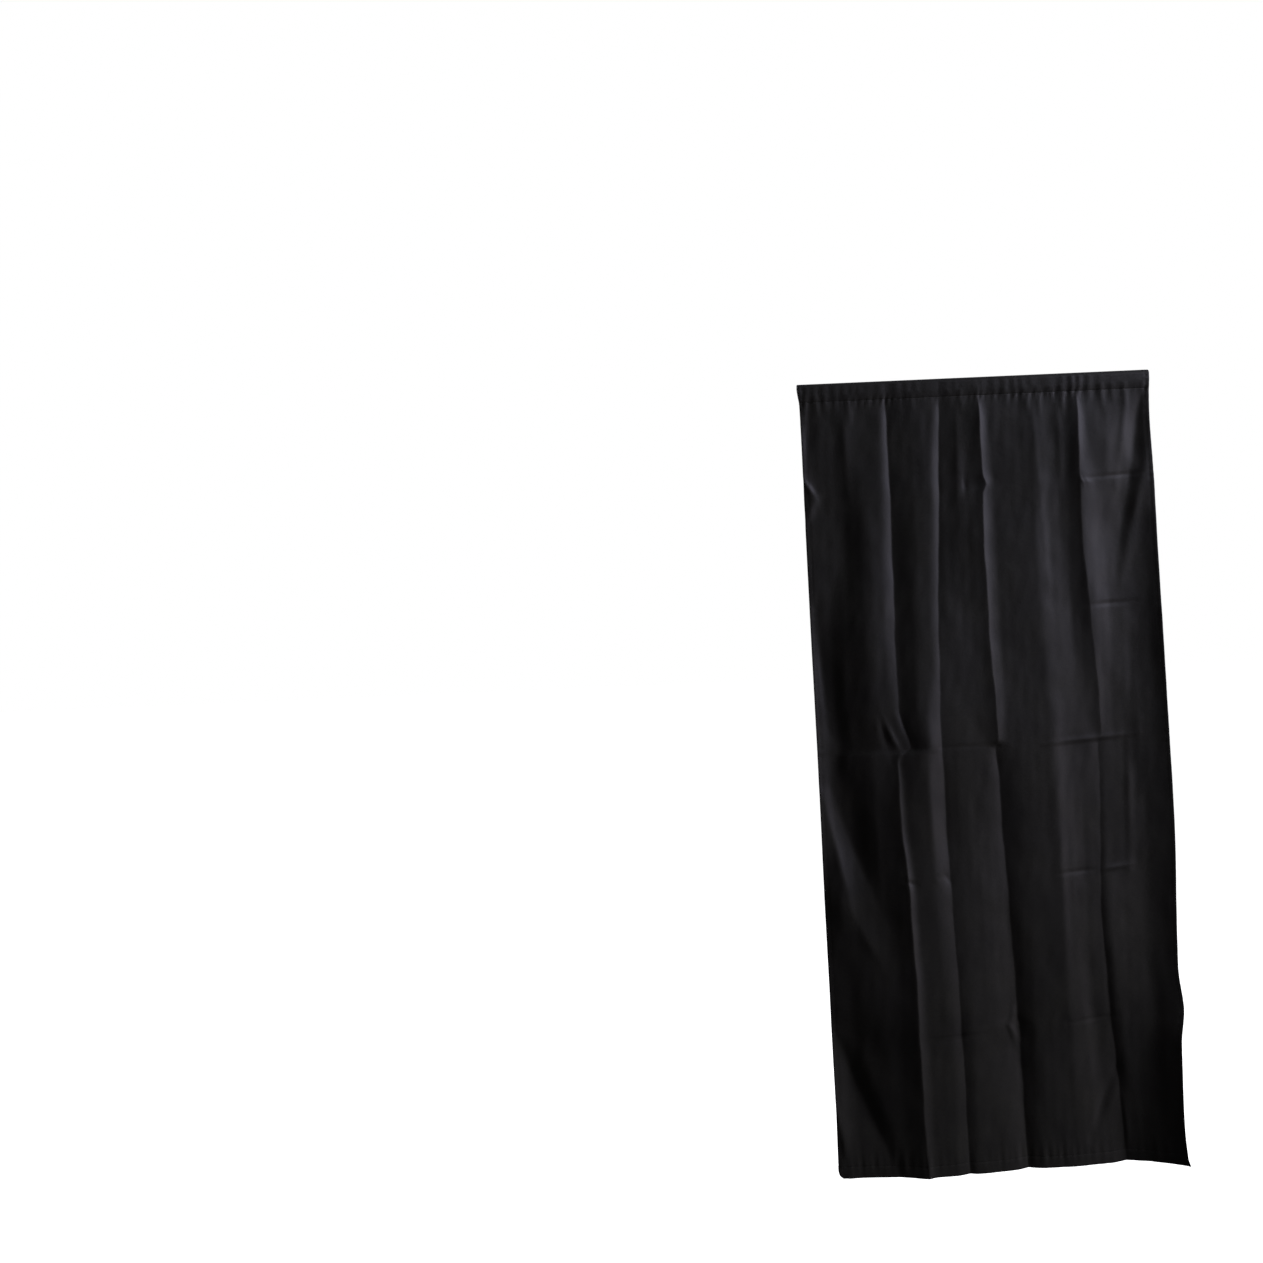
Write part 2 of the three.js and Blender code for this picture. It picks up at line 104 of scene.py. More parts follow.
# The four long creases left by packing. crest is how far the crease stands toward the room, so
# a valley has a negative one, and left and right are the widths of its two flanks.
CREASE_A = table(
    "drop across crest left right",
    (0, -235, -1, 24, 40),
    (50, -235, -4, 22, 70),
    (120, -232, -7, 26, 90),
    (300, -230, -8, 29, 110),
    (450, -229, -8, 29, 100),
    (600, -231, -7, 32, 80),
    (750, -233, -5, 30, 60),
    (880, -233, -4, 20, 50),
    (906, -227, -4, 17, 30),
    (940, -217, -3, 15, 22),
    (985, -205, -1.5, 13, 20),
    (1004, -239, 2, 20, 12),
    (1030, -244, 4, 34, 14),
    (1130, -243, 6, 50, 18),
    (1330, -231, 9, 60, 22),
    (1600, -222, 10, 60, 26),
    (1900, -215, 9, 60, 28),
    (2134, -207, 7, 60, 28),
)
CREASE_B = table(
    "drop across crest left right",
    (0, -92, -1, 20, 30),
    (50, -92, -4, 20, 60),
    (120, -93, -6, 24, 90),
    (300, -100, -8, 30, 100),
    (450, -105, -7.5, 29, 100),
    (600, -115, -6, 26, 100),
    (750, -118, -5, 26, 90),
    (900, -123, -6, 34, 80),
    (1060, -119, -8, 52, 70),
    (1200, -116, -7.5, 54, 70),
    (1400, -112, -6.5, 50, 56),
    (1600, -106, -6, 44, 40),
    (1900, -96, -6, 36, 36),
    (2134, -92, -7, 44, 30),
)
CREASE_C = table(
    "drop across crest left right",
    (0, 10, 0, 40, 24),
    (50, 11, 5, 50, 20),
    (120, 12, 8, 70, 24),
    (240, 15, 8, 90, 32),
    (266, 17, 8, 80, 32),
    (288, 23, 6.5, 78, 30),
    (312, 13, 8, 90, 36),
    (450, 12, 10, 110, 36),
    (600, 15, 10, 110, 36),
    (750, 19, 9, 110, 36),
    (900, 26, 8, 80, 36),
    (972, 29, 5, 40, 28),
    (996, 25, -5, 34, 50),
    (1060, 30, -8, 40, 56),
    (1250, 38, -11, 70, 66),
    (1400, 44, -12, 84, 66),
    (1680, 56, -13, 90, 60),
    (1716, 57, -13, 86, 56),
    (1748, 65, -13, 82, 52),
    (1776, 66, -13, 82, 52),
    (1802, 62, -13, 84, 54),
    (1900, 66, -13, 84, 56),
    (2134, 71, -12, 60, 56),
)
CREASE_D = table(
    "drop across crest left right",
    (0, 273, 0, 40, 30),
    (50, 272, 4, 44, 20),
    (120, 273, 6, 50, 24),
    (230, 273, 7, 56, 40),
    (300, 274, 7, 56, 90),
    (450, 279, 7, 56, 90),
    (550, 286, 7, 60, 90),
    (750, 302, 5, 56, 60),
    (900, 311, 3, 44, 36),
    (962, 313, 2, 30, 30),
    (996, 306, -2, 28, 24),
    (1200, 303, -2, 40, 14),
    (1400, 294, -4, 50, 18),
    (1600, 303, -6, 52, 26),
    (1750, 315, -7, 52, 30),
    (1900, 329, -9, 56, 36),
    (2134, 344, -9, 50, 70),
)
CREASES = (CREASE_A, CREASE_B, CREASE_C, CREASE_D)

# The broad form of the hanging cloth: how far each place on a section lies away from the room.
# A station is 0 at the left side, 1 to 4 on the creases A to D, and 5 at the right side.
STATIONS = {
    "left_edge": 0, "left_rim": 0.22, "left_bay": 0.4, "left_flank": 0.72,
    "crease_a": 1, "after_a": 1.55, "crease_b": 2, "crease_c": 3,
    "after_c": 3.5, "fold_e": 3.68, "after_e": 3.84, "crease_d": 4,
    "right_bay": 4.34, "right_flank": 4.6, "right_rim": 4.82, "right_edge": 5,
}
SECTIONS = table(
    "drop " + " ".join(STATIONS),
    (0, 0, 0, 0, 0, 0, 0, 0, 0, 0, 0, 0, 0, 0, 0, 0, 0),
    (50, 0, 0, 0, 0, 0, 0, 0, 0, 0, 0, 0, 0, 0, 0, 0, 0),
    (150, 4, 6, 6, 4, 1, 1, -1, 1, -2, -1, -2, -4, -2, 5, 10, 8),
    (280, 12, 13, 12, 3, 1, 0, -1, 4, -1, 3, 4, 2, 8, 17, 18, 14),
    (450, 18, 18, 18, 3, 6, 0, 0, 3, 0, 9, 12, 12, 26, 29, 26, 18),
    (700, 16, 18, 7, -8, -3, -10, -10, 4, 2, 10, 18, 18, 26, 29, 25, 14),
    (985, 10, 18, 6, -10, -13, -24, -14, -2, 0, 11, 18, 22, 26, 22, 17, 8),
    (1200, 8, 18, 18, -4, -12, -19, -7.5, 1.5, 0, 10, 18, 20, 22, 22, 15, 6),
    (1420, 12, -2, -4, -14, -25, -26, -19, -5, -4, 6, 12, 13, 20, 24, 18, 6),
    (1660, 6, -2, -14, -26, -31, -28, -23, 0, 2, 10, 20, 18, 21, 22, 13, 2),
    (1820, 0, 6, -3, -18, -26, -22, -16, 9, 11, 20, 30, 26, 27, 23, 6, -10),
    (2134, -8, -6, -8, -16, -22, -18, -12, 8, 15, 22, 27, 33, 30, 17, 2, -14),
)

# Short folds and buckles, each along a straight line between two places on the cloth. crest is
# how far it stands toward the room. flank1 is its width on the left, or below a level fold, and
# flank2 is its width on the right, or above.
FOLDS = table(
    "across1 drop1 across2 drop2 crest flank1 flank2",
    # Dents along the left side
    (-446, 20, -446, 230, -4, 18, 40),
    (-468, 243, -428, 312, 5.5, 30, 14),
    (-428, 306, -462, 374, 6, 30, 16),
    (-440, 600, -420, 930, -7, 30, 50),
    (-441, 1110, -380, 1420, 8, 44, 36),
    (-392, 1400, -300, 1580, 4, 49, 49),
    (-424, 1070, -296, 1440, -6, 46, 76),
    (-458, 1690, -272, 2150, -11, 90, 44),
    (-452, 1890, -410, 2134, 6, 22, 44),
    (-352, 30, -344, 300, 4, 30, 40),
    # Chevrons right of crease D
    (458, -10, 416, 290, -6.5, 48, 46),
    (411, 30, 378, 300, 2.4, 18, 38),
    (432, 200, 372, 540, -3.5, 44, 38),
    (466, 190, 384, 560, 4, 38, 46),
    (412, 640, 384, 1000, -1.5, 40, 38),
    (384, 985, 376, 1340, 2.5, 13, 24),
    # Soft fold between the creases C and D
    (150, 20, 182, 560, 3.6, 46, 60),
    (222, 30, 224, 320, 2.5, 20, 26),
    (-46, 30, -54, 460, 2.2, 20, 34),
    (180, 985, 194, 1720, 2.5, 22, 80),
    # Level packing folds
    (286, 283, 478, 270, -1.6, 10, 8),
    (288, 622, 424, 616, -1.7, 12, 9),
    (150, 990, 414, 973, 2.5, 10, 15),
    (-200, 986, 30, 988, -0.8, 9, 9),
    (176, 1338, 292, 1334, -1.8, 12, 10),
    (292, 1336, 386, 1324, 2.4, 10, 13),
    (188, 1742, 330, 1734, -1.2, 12, 10),
    (-212, 1764, -40, 1758, -1.4, 12, 10),
    # Buckles and nicks on the creases
    (-302, 944, -278, 900, 2.5, 9, 9),
    (-286, 898, -256, 1012, -3, 15, 8),
    (-274, 912, -234, 1000, 4, 8, 9),
    (274, 280, 288, 304, 1.3, 5, 5),
    (286, 280, 300, 306, 1.5, 5, 5),
    (298, 286, 310, 306, 1.1, 5, 5),
    (-33, 262, -31, 312, -2, 6, 13),
    (-152, 1338, -122, 1290, 1.8, 15, 15),
    (-134, 1320, -112, 1352, -1.6, 13, 13),
    (-236, 1338, -208, 1350, -2, 13, 13),
    (-168, 1000, -152, 1340, 2, 22, 40),
    (54, 1686, 30, 1742, 4.5, 7, 20),
    (30, 1738, 52, 1796, 4.5, 7, 20),
    (328, 1880, 244, 2060, -8, 28, 18),
    (340, 1960, 352, 2110, 4, 34, 20),
)

# Gathers of the cloth on the rod, which fade out below the seam. Their strength is GATHER_MEAN
# on average. Here and below, a wave has its height, the length over which its phase grows by one
# radian, and its phase at 0.
GATHER_PITCH = 27.0
GATHER_HEIGHT = 0.6
GATHER_FADE = 22.0
GATHER_WANDER = ((11, 61, 0), (7, 23, 1))
GATHER_MEAN = 0.5
GATHER_STRENGTH = ((0.4, 83, -0.9), (0.4, 37, 0))

# How far the pocket's front and back bulge between the rod and the seam
POCKET_BELLY = 1.6

# Streaks under the gathers: the widths of their two flanks, and how far their tips are rounded
# off. They start a little above the seam, lean to the right by STREAK_LEAN toward their ends, and
# are fullest near their tops.
STREAK_LEFT = 15.0
STREAK_RIGHT = 10.0
STREAK_TIP = 1.5
STREAK_START = 30.0
STREAK_LEAN = 3.0
STREAK_RISE = 0.6
STREAKS = table(
    "across drop crest",
    (-452, 150, 2.4), (-420, 96, 2.0), (-395, 84, 1.2), (-335, 130, 2.2), (-288, 80, 1.0),
    (-165, 96, 1.6), (-142, 78, 0.9), (-64, 80, 0.9), (-35, 98, 1.5), (85, 90, 1.4),
    (140, 120, 2.0), (172, 130, 1.8), (206, 84, 1.1), (234, 130, 2.0), (306, 84, 1.1),
    (340, 110, 2.0), (368, 88, 1.3), (402, 110, 1.9), (450, 70, 0.6),
)


def bend_rates(places, values):
    """Slopes at a curve's points that keep it from swinging past them. Values run along the
    last axis."""
    rise = np.diff(values, axis=-1) / np.diff(places)
    before = rise[..., :-1]
    after = rise[..., 1:]
    product = before * after
    total = np.where(product > 0, before + after, 1.0)
    inner = np.where(product > 0, 2 * product / total, 0.0)
    return np.concatenate([rise[..., :1], inner, rise[..., -1:]], axis=-1)


def curve(places, values, at):
    """A smooth curve through values at places, read at each number of at."""
    at = np.clip(at, places[0], places[-1])
    i = np.clip(np.searchsorted(places, at, side="right") - 1, 0, len(places) - 2)
    rates = bend_rates(places, values)
    span = places[i + 1] - places[i]
    t = (at - places[i]) / span
    start = values[..., i] * (1 + 2 * t) * (1 - t) ** 2
    end = values[..., i + 1] * t * t * (3 - 2 * t)
    turn = span * (rates[..., i] * t * (1 - t) ** 2 + rates[..., i + 1] * t * t * (t - 1))
    return start + end + turn


def follow(rows, column, drops):
    """One column of a table with drops, read at each drop."""
    return curve(rows["drop"], rows[column], drops)


def lines_at(drops):
    """Where the left side, the creases A to D and the right side lie at each drop."""
    creases = [follow(crease, "across", drops) for crease in CREASES]
    sides = [follow(OUTLINE, side, drops) for side in ("left", "right")]
    return np.stack([sides[0], *creases, sides[1]], axis=-1)


def across_at(stations, drops):
    """Where each station lies at each drop: one row for a drop, one column for a station."""
    lines = lines_at(drops)
    bay = np.clip(stations.astype(int), 0, lines.shape[-1] - 2)
    return lines[:, bay] + (lines[:, bay + 1] - lines[:, bay]) * (stations - bay)


def broad_form(stations, drops):
    """How far the sheet without its folds lies away from the room."""
    section = np.stack([follow(SECTIONS, name, drops) for name in STATIONS], axis=-1)
    return curve(np.array(list(STATIONS.values()), float), section, stations)


# How far the tips of creases and short folds are rounded off. At each end of a short fold, its
# height stays the same over FOLD_END of its length.
CREASE_TIP = 1.4
FOLD_TIP = 2.5
FOLD_END = 0.12

# A crease wanders to and fro by these waves, from the drop WANDER_FULL on in full.
CREASE_WANDER = ((0.9, 41, 0), (0.6, 17, 2))
WANDER_FULL = 200.0

# Unevenness of the whole cloth: the size of its waves, its height and the seed that draws it.
# The waves' lengths vary between two shares of that size, and a wave's phase grows more slowly
# down the cloth than across it, by UNEVEN_DOWN.
SOFT_SIZE, SOFT_HEIGHT, SOFT_SEED = 95, 0.35, 3
FINE_SIZE, FINE_HEIGHT, FINE_SEED = 34, 0.22, 8
UNEVEN_WAVES = 26
UNEVEN_SHARES = (0.6, 1.7)
UNEVEN_DOWN = 0.35


def waves(at, rows):
    """A sum of waves, read at each place."""
    total = np.zeros(np.shape(at))
    for height, length, phase in rows:
        total = total + height * np.sin(at / length + phase)
    return total


def flank(offset, width, tip):
    """The height of a fold's flank beside its line: 1 on the line, where the tip is rounded off,
    and 0 from its width on."""
    beside = np.sqrt(offset ** 2 + tip ** 2) - tip
    return np.clip(1 - beside / width, 0, 1) ** 2


def crease_relief(crease, across, drops):
    """A long crease, whose line wanders a little to and fro."""
    drops = drops[:, None]
    wander = waves(drops, CREASE_WANDER) * np.clip(drops / WANDER_FULL, 0, 1)
    offset = across - follow(crease, "across", drops) - wander
    width = np.where(offset < 0, follow(crease, "left", drops), follow(crease, "right", drops))
    return follow(crease, "crest", drops) * flank(offset, width, CREASE_TIP)


def fold_relief(fold, across, drops):
    """A short fold is full along its middle and tapers out toward its two ends."""
    run_across = fold["across2"] - fold["across1"]
    run_down = fold["drop2"] - fold["drop1"]
    length = math.hypot(run_across, run_down)
    from_across = across - fold["across1"]
    from_drop = drops[:, None] - fold["drop1"]
    along = (from_across * run_across + from_drop * run_down) / length
    aside = (from_across * run_down - from_drop * run_across) / length
    past = np.maximum(0, np.maximum(-along, along - length))
    taper = np.sin(math.pi * np.clip(along / length, FOLD_END, 1 - FOLD_END))
    width = np.where(aside < 0, fold["flank1"], fold["flank2"])
    return fold["crest"] * taper * flank(np.hypot(aside, past), width, FOLD_TIP)


def fold_rows(rows):
    """The rows of a table, one by one, each with its columns' names."""
    for values in zip(*rows.values()):
        yield dict(zip(rows, values))


def gather(across):
    """Small upright waves of the cloth that is gathered on the rod, uneven across it."""
    wander = waves(across, GATHER_WANDER)
    strength = GATHER_MEAN + waves(across, GATHER_STRENGTH)
    return GATHER_HEIGHT * strength * np.sin(2 * math.pi * (across + wander) / GATHER_PITCH)


def streak_relief(across, drops):
    """Longer upright streaks that run out below the seam."""
    relief = np.zeros(across.shape)
    for streak in fold_rows(STREAKS):
        run = np.clip((drops[:, None] - STREAK_START) / (streak["drop"] - STREAK_START), 0, 1)
        offset = across - streak["across"] - STREAK_LEAN * run
        width = np.where(offset < 0, STREAK_LEFT, STREAK_RIGHT)
        fullness = np.sin(math.pi * run ** STREAK_RISE)
        relief += streak["crest"] * flank(offset, width, STREAK_TIP) * fullness
    return relief


def crumple(across, drops, size, seed):
    """A soft random unevenness of height 1, made of waves about as long as size."""
    random = np.random.default_rng(seed)
    total = np.zeros(across.shape)
    for _ in range(UNEVEN_WAVES):
        heading = random.uniform(0, math.pi)
        length = size * random.uniform(*UNEVEN_SHARES)
        phase = random.uniform(0, 2 * math.pi)
        down = drops[:, None] * math.sin(heading) * UNEVEN_DOWN
        total += np.sin(2 * math.pi * (across * math.cos(heading) + down) / length + phase)
    return total / math.sqrt(UNEVEN_WAVES / 2)


def groove(offset, width):
    """A smooth groove or band of height 1 around a line."""
    return np.exp(-(offset / width) ** 2)


# Each stitched line presses a groove into the cloth. STITCH_INSET is how far a side hem's
# stitches lie from its turned edge.
STITCH_INSET = 1.5
SEAM_GROOVE, SEAM_GROOVE_WIDTH = 0.2, 2.6
HEM_GROOVE, HEM_GROOVE_WIDTH = 0.4, 2.2
SIDE_GROOVE, SIDE_GROOVE_WIDTH = 0.5, 1.8

# Beside a stitched line the cloth puckers in a band, by ripples whose strength varies along the
# line. A ripple has its height, its pitch and the waves by which it wanders, and the ripples at
# the seam slant by SEAM_SLANT.
SEAM_PUCKER, SEAM_PUCKER_WIDTH, SEAM_PUCKER_BELOW = 0.65, 12, 3
SEAM_STRENGTH = ((0.6, 67, -0.6),)
SEAM_PITCH = 17
SEAM_WANDER = ((4, 31, 0),)
SEAM_SLANT = 0.25
HEM_PUCKER, HEM_PUCKER_WIDTH, HEM_PUCKER_ABOVE = 0.6, 26, 8
HEM_STRENGTH = ((0.6, 71, 0),)
HEM_RIPPLES = ((1.0, 21, ((5, 29, 0),)), (0.7, 34, ((4, 47, 0),)))
SIDE_PUCKER, SIDE_PUCKER_WIDTH = 0.35, 8
SIDE_STRENGTH = ((0.5, 113, 0),)
SIDE_RIPPLES = ((1.0, 23, ((6, 37, 0),)),)


def ripples(at, rows):
    """A sum of ripples along a line, read at each place."""
    total = np.zeros(np.shape(at))
    for height, pitch, wander in rows:
        total = total + height * np.sin(2 * math.pi * (at + waves(at, wander)) / pitch)
    return total


def seam_puckers(across, drops):
    """Slanted puckers around the pocket's seam."""
    band = groove(drops - POCKET_DROP - SEAM_PUCKER_BELOW, SEAM_PUCKER_WIDTH)
    strength = 1 + waves(across, SEAM_STRENGTH)
    slanted = across + waves(across, SEAM_WANDER) + SEAM_SLANT * drops
    return SEAM_PUCKER * band * strength * np.sin(2 * math.pi * slanted / SEAM_PITCH)


def hem_puckers(across, drops):
    """Puckers around the bottom hem's stitches."""
    band = groove(drops - HEM_LINE + HEM_PUCKER_ABOVE, HEM_PUCKER_WIDTH)
    strength = 1 + waves(across, HEM_STRENGTH)
    return HEM_PUCKER * band * strength * ripples(across, HEM_RIPPLES)


def side_puckers(inset, drops):
    """Puckers down a side hem, where inset is measured from its outer edge."""
    band = groove(inset - SIDE_HEM / 2, SIDE_PUCKER_WIDTH)
    strength = 1 + waves(drops, SIDE_STRENGTH)
    return SIDE_PUCKER * band * strength * ripples(drops, SIDE_RIPPLES)


def sewn_relief(across, drops, left, right):
    """Grooves pressed by the stitching, and the small puckers beside them."""
    drops = drops[:, None]
    relief = hem_puckers(across, drops) + seam_puckers(across, drops)
    relief -= SEAM_GROOVE * groove(drops - POCKET_DROP, SEAM_GROOVE_WIDTH)
    relief -= HEM_GROOVE * groove(drops - HEM_LINE, HEM_GROOVE_WIDTH)
    for inset in (across - left, right - across):
        relief -= SIDE_GROOVE * groove(inset - SIDE_HEM + STITCH_INSET, SIDE_GROOVE_WIDTH)
        relief += side_puckers(inset, drops)
    return relief


# The share of the creases that shows on the rod, and of the fine unevenness
CREASE_ON_ROD = 0.45
FINE_ON_ROD = 0.4


def cloth_relief(stations, drops):
    """How far the cloth stands toward the room at each drop and station, folds and all."""
    across = across_at(stations, drops)
    below = np.maximum(0, drops - POCKET_DROP)[:, None]
    settled = 1 - np.exp(-below / GATHER_FADE)
    creased = CREASE_ON_ROD + (1 - CREASE_ON_ROD) * settled
    fine = FINE_ON_ROD + (1 - FINE_ON_ROD) * settled
    relief = gather(across) * (1 - settled) - broad_form(stations, drops)
    for crease in CREASES:
        relief += creased * crease_relief(crease, across, drops)
    for fold in fold_rows(FOLDS):
        relief += settled * fold_relief(fold, across, drops)
    relief += streak_relief(across, drops)
    relief += SOFT_HEIGHT * settled * crumple(across, drops, SOFT_SIZE, SOFT_SEED)
    relief += FINE_HEIGHT * fine * crumple(across, drops, FINE_SIZE, FINE_SEED)
    lines = lines_at(drops)
    relief += sewn_relief(across, drops, lines[:, :1], lines[:, -1:])
    return across, relief


# Steps between the mesh's columns: beside a crease, at most, and how fast they grow between
COLUMN_FINE = 1.9
COLUMN_COARSE = 5.6
COLUMN_GROWTH = 0.18

# Steps between the mesh's rows, and how far the closer ones reach beside a seam or around a
# fold. At the foot the cloth turns round in rows at FOOT_ANGLES, in degrees. The bottom hem's
# turned edge lies TURNED_LIP above its stitches.
ROW_STEP = 12.5
FOLD_STEP, FOLD_REACH = 3.6, 20
SEAM_STEP, SEAM_REACH = 1.6, 8
GATHER_STEP, GATHER_REACH = 5.5, 70
HEM_STEP, HEM_REACH = 1.5, 6
FOOT_STEP = 4.5
FOOT_ANGLES = (45, 90, 135)
TURNED_STEP = 5
TURNED_LIP = 3


def graded(start, end):
    """Places from start to end, fine steps at both ends and coarse ones between."""
    places = [0.0]
    while places[-1] < (end - start) / 2:
        step = min(COLUMN_COARSE, COLUMN_FINE + COLUMN_GROWTH * places[-1])
        places.append(places[-1] + step)
    half = np.array(places) / places[-1] * (end - start) / 2
    return np.concatenate([start + half, end - half[-2::-1]])


def column_stations():
    """Stations of the mesh's columns, closer together at the creases and the side hems."""
    lines = lines_at(np.array([LENGTH / 2]))[0]
    stations = [np.array([0.0])]
    for bay in range(len(lines) - 1):
        places = graded(lines[bay], lines[bay + 1])
        stations.append(bay + (places[1:] - lines[bay]) / (lines[bay + 1] - lines[bay]))
    return np.concatenate(stations)


def even(start, end, step):
    """Places from start to end, both included, at an even step close to the asked one."""
    count = max(1, round(abs(end - start) / step))
    return np.linspace(start, end, count + 1)


def panel_path():
    """The panel from its seam down to the foot, round it and up behind to the hem's edge. Gives
    each row's drop, its shift away from the room, its shift down and the share of the extra
    shift that it needs beside the side hems."""
    turn = LAYER / 2
    above = POCKET_DROP + GATHER_REACH
    down = [
        even(POCKET_DROP, POCKET_DROP + SEAM_REACH, SEAM_STEP)[:-1],
        even(POCKET_DROP + SEAM_REACH, above, GATHER_STEP)[:-1],
    ]
    for level in LEVEL_FOLDS:
        down.append(even(above, level - FOLD_REACH, ROW_STEP)[:-1])
        above = level + FOLD_REACH
        down.append(even(level - FOLD_REACH, above, FOLD_STEP)[:-1])
    down += [
        even(above, HEM_LINE - HEM_REACH, ROW_STEP)[:-1],
        even(HEM_LINE - HEM_REACH, HEM_LINE + HEM_REACH, HEM_STEP)[:-1],
        even(HEM_LINE + HEM_REACH, LENGTH - turn, FOOT_STEP),
    ]
    rows = [(drop, -SEAM_AHEAD, 0.0, 0.0) for drop in np.concatenate(down)]
    for angle in np.radians(FOOT_ANGLES):
        share = (1 - math.cos(angle)) / 2
        rows.append((LENGTH - turn, LAYER * share - SEAM_AHEAD, turn * math.sin(angle), share))
    behind = LAYER - SEAM_AHEAD
    rows += [(drop, behind, 0.0, 1.0) for drop in even(LENGTH - turn, HEM_LINE, TURNED_STEP)]
    rows.append((HEM_LINE - TURNED_LIP, behind, 0.0, 1.0))
    return np.array(rows).T


def pocket_leans():
    """How far the front and the back of the pocket lean out from the seam up to the rod."""
    seam_below = POCKET_DROP - POCKET_RADIUS
    open_half = math.asin(POCKET_RADIUS / math.hypot(seam_below, SEAM_AHEAD))
    turned = math.atan2(SEAM_AHEAD, seam_below)
    return open_half - turned, open_half + turned


# The pocket's turned edge below the back of its seam, and the steps of its rows, that round the
# rod in radians. The back's close rows reach BACK_REACH above the seam, and the front's reach
# FRONT_REACH.
POCKET_LIP = 5
POCKET_SEAM_STEP = 1.5
BACK_REACH, BACK_STEP = 4, 3.4
FRONT_REACH, FRONT_STEP = 5, 2.6
FRONT_SEAM_STEP = 1.3
ROUND_STEP = 0.2


def pocket_path():
    """The pocket from the back of its seam up over the rod and down its front to the seam. Gives
    the same numbers as the panel's path."""
    radius = POCKET_RADIUS - CLOTH / 2
    front_lean, back_lean = pocket_leans()
    shoulder_drop = POCKET_RADIUS + radius * math.sin(back_lean)
    reach = radius * math.cos(back_lean) + SEAM_AHEAD - LAYER
    rows = []
    for drop in np.concatenate([
        even(POCKET_DROP + POCKET_LIP, POCKET_DROP - BACK_REACH, POCKET_SEAM_STEP)[:-1],
        even(POCKET_DROP - BACK_REACH, shoulder_drop, BACK_STEP)[:-1],
    ]):
        share = max(0, (POCKET_DROP - drop) / (POCKET_DROP - shoulder_drop))
        belly = POCKET_BELLY * math.sin(math.pi * share)
        rows.append((drop, LAYER - SEAM_AHEAD + reach * share + belly, 0.0, 1 - share))
    for angle in even(-back_lean, math.pi + front_lean, ROUND_STEP)[:-1]:
        drop = POCKET_RADIUS - radius * math.sin(angle)
        rows.append((drop, radius * math.cos(angle), 0.0, 0.0))
    shoulder_drop = POCKET_RADIUS + radius * math.sin(front_lean)
    reach = radius * math.cos(front_lean) - SEAM_AHEAD
    for drop in np.concatenate([
        even(shoulder_drop, POCKET_DROP - FRONT_REACH, FRONT_STEP)[:-1],
        even(POCKET_DROP - FRONT_REACH, POCKET_DROP, FRONT_SEAM_STEP),
    ]):
        share = (POCKET_DROP - drop) / (POCKET_DROP - shoulder_drop)
        belly = POCKET_BELLY * math.sin(math.pi * share)
        rows.append((drop, -SEAM_AHEAD - reach * share - belly, 0.0, 0.0))
    return np.array(rows).T


# How softly a side hem's turned layer ends, and how much thinner the cloth's outer edge is
HEM_SOFTNESS = 0.8
EDGE_THINNING, EDGE_REACH = 0.55, 0.9


def side_layers(across):
    """How far each place lies in the turned-under side hems, and the rounding of the edges."""
    inset = np.minimum(across - across[:, :1], across[:, -1:] - across)
    turned = 1 / (1 + np.exp((inset - SIDE_HEM) / HEM_SOFTNESS))
    round_edge = 1 - EDGE_THINNING * np.exp(-inset / EDGE_REACH)
    return turned, round_edge


def mid_surface(stations, path):
    """Points of the middle of the cloth: rows along the path, columns across it, each (x, y, z)
    in millimetres in the frame's axes."""
    drops, back, sink, bulk = path
    across, relief = cloth_relief(stations, drops)
    slack = np.clip(drops / POCKET_RADIUS, 0, 1)[:, None]
    corner = bulk[:, None] * side_layers(across)[0]
    y = back[:, None] + HEM_BULK * corner - relief * slack
    z = POCKET_RADIUS - drops[:, None] - sink[:, None] * (1 + corner)
    return np.stack([across, y, z], axis=-1)


def grid_normals(points):
    """Unit normals of a grid of points, toward the room on the cloth's front and away from it
    behind the rod and on the turned-up hem."""
    normals = np.cross(np.gradient(points, axis=0), np.gradient(points, axis=1))
    return normals / np.linalg.norm(normals, axis=-1, keepdims=True)


def mesh_object(name, vertices, faces, smooth=True):
    """An object with a mesh of vertices in millimetres and lists of their numbers for faces."""
    mesh = bpy.data.meshes.new(name)
    mesh.from_pydata((vertices * MM).tolist(), [], faces)
    mesh.update()
    mesh.polygons.foreach_set("use_smooth", [smooth] * len(mesh.polygons))
    thing = bpy.data.objects.new(name, mesh)
    bpy.context.scene.collection.objects.link(thing)
    return thing


def sheet_mesh(name, points):
    """A closed mesh of cloth around its middle surface. Its outer face looks along the grid's
    normals, and the turned cloth of the side hems makes the other face thicker. Gives the mesh's
    object, the points of its outer face and their normals."""
    normals = grid_normals(points)
    turned, round_edge = side_layers(points[..., 0])
    outer = points + normals * (CLOTH / 2 * round_edge)[..., None]
    inner = points - normals * ((CLOTH / 2 + LAYER * turned) * round_edge)[..., None]
    rows, columns = points.shape[:2]
    face = np.arange(rows * columns).reshape(rows, columns)
    back = face + rows * columns
    rim = np.concatenate([face[0], face[1:, -1], face[-1, -2::-1], face[-2:0:-1, 0]])
    back_rim = rim + rows * columns
    quads = [
        np.stack([face[:-1, :-1], face[1:, :-1], face[1:, 1:], face[:-1, 1:]], axis=-1),
        np.stack([back[:-1, :-1], back[:-1, 1:], back[1:, 1:], back[1:, :-1]], axis=-1),
        np.stack([rim, np.roll(rim, -1), np.roll(back_rim, -1), back_rim], axis=-1),
    ]
    faces = np.concatenate([group.reshape(-1, 4) for group in quads]).tolist()
    vertices = np.concatenate([outer.reshape(-1, 3), inner.reshape(-1, 3)])
    return mesh_object(name, vertices, faces), outer, normals


